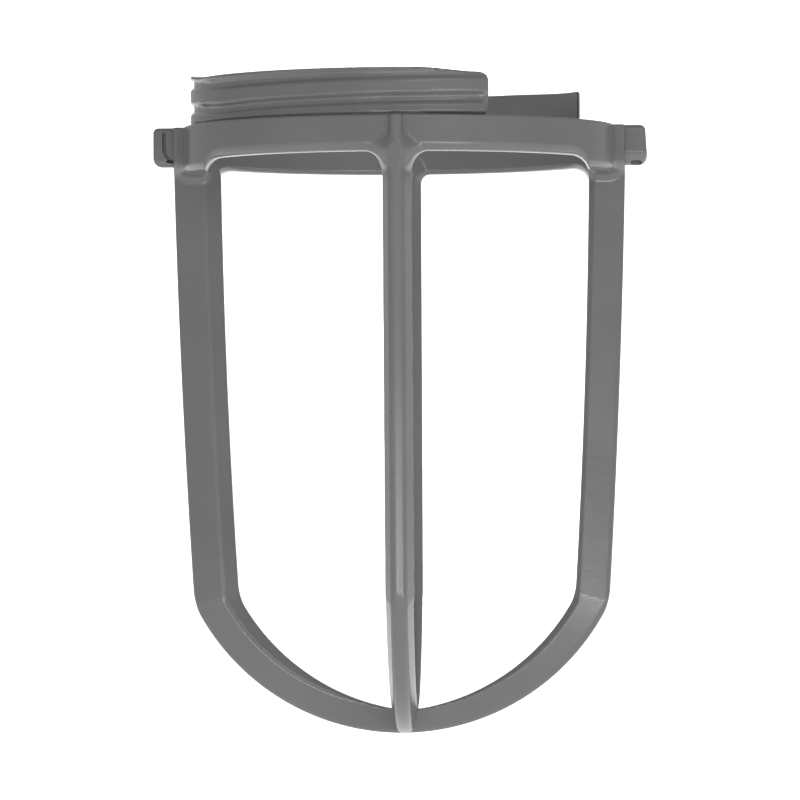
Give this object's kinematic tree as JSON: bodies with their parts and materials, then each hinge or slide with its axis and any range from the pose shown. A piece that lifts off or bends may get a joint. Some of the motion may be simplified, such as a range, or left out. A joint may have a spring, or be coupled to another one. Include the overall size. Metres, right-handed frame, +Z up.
{
  "type": "threaded lamp guard",
  "caption": "Cast lamp guard: interrupted external thread collar on a ring, ribs curving to a crown under the globe, and lugs with lock screws.",
  "frame": {"origin": "on the collar's axis, in the shoulder plane, which is the ring band's top face where the collar starts", "axes": "+Z up the collar's axis, out of the guard towards the fixture; -Y towards the front rib; +X towards the right lug"},
  "size_m": [0.1292, 0.1184, 0.1701],
  "materials": {
    "grey_enamel": "die-cast aluminium under glossy mid-grey enamel",
    "screw_steel": "dull zinc-plated steel"
  },
  "bodies": {
    "guard": {"front_collar": "grey_enamel", "rear_collar": "grey_enamel", "ring_band": "grey_enamel", "right_rib": "grey_enamel", "right_arm": "grey_enamel", "rear_rib": "grey_enamel", "rear_arm": "grey_enamel", "left_rib": "grey_enamel", "left_arm": "grey_enamel", "front_rib": "grey_enamel", "front_arm": "grey_enamel", "crown": "grey_enamel", "right_lug": "grey_enamel", "left_lug": "grey_enamel"},
    "right_screw": {"right_lock_screw": "screw_steel"},
    "left_screw": {"left_lock_screw": "screw_steel"}
  },
  "joints": [
    {"name": "right_screw_travel", "type": "slide", "parent": "guard", "child": "right_screw", "axis": [0, 0, 1], "range_m": [-0.002, 0.0042]},
    {"name": "left_screw_travel", "type": "slide", "parent": "guard", "child": "left_screw", "axis": [0, 0, 1], "range_m": [-0.002, 0.0042]}
  ]
}
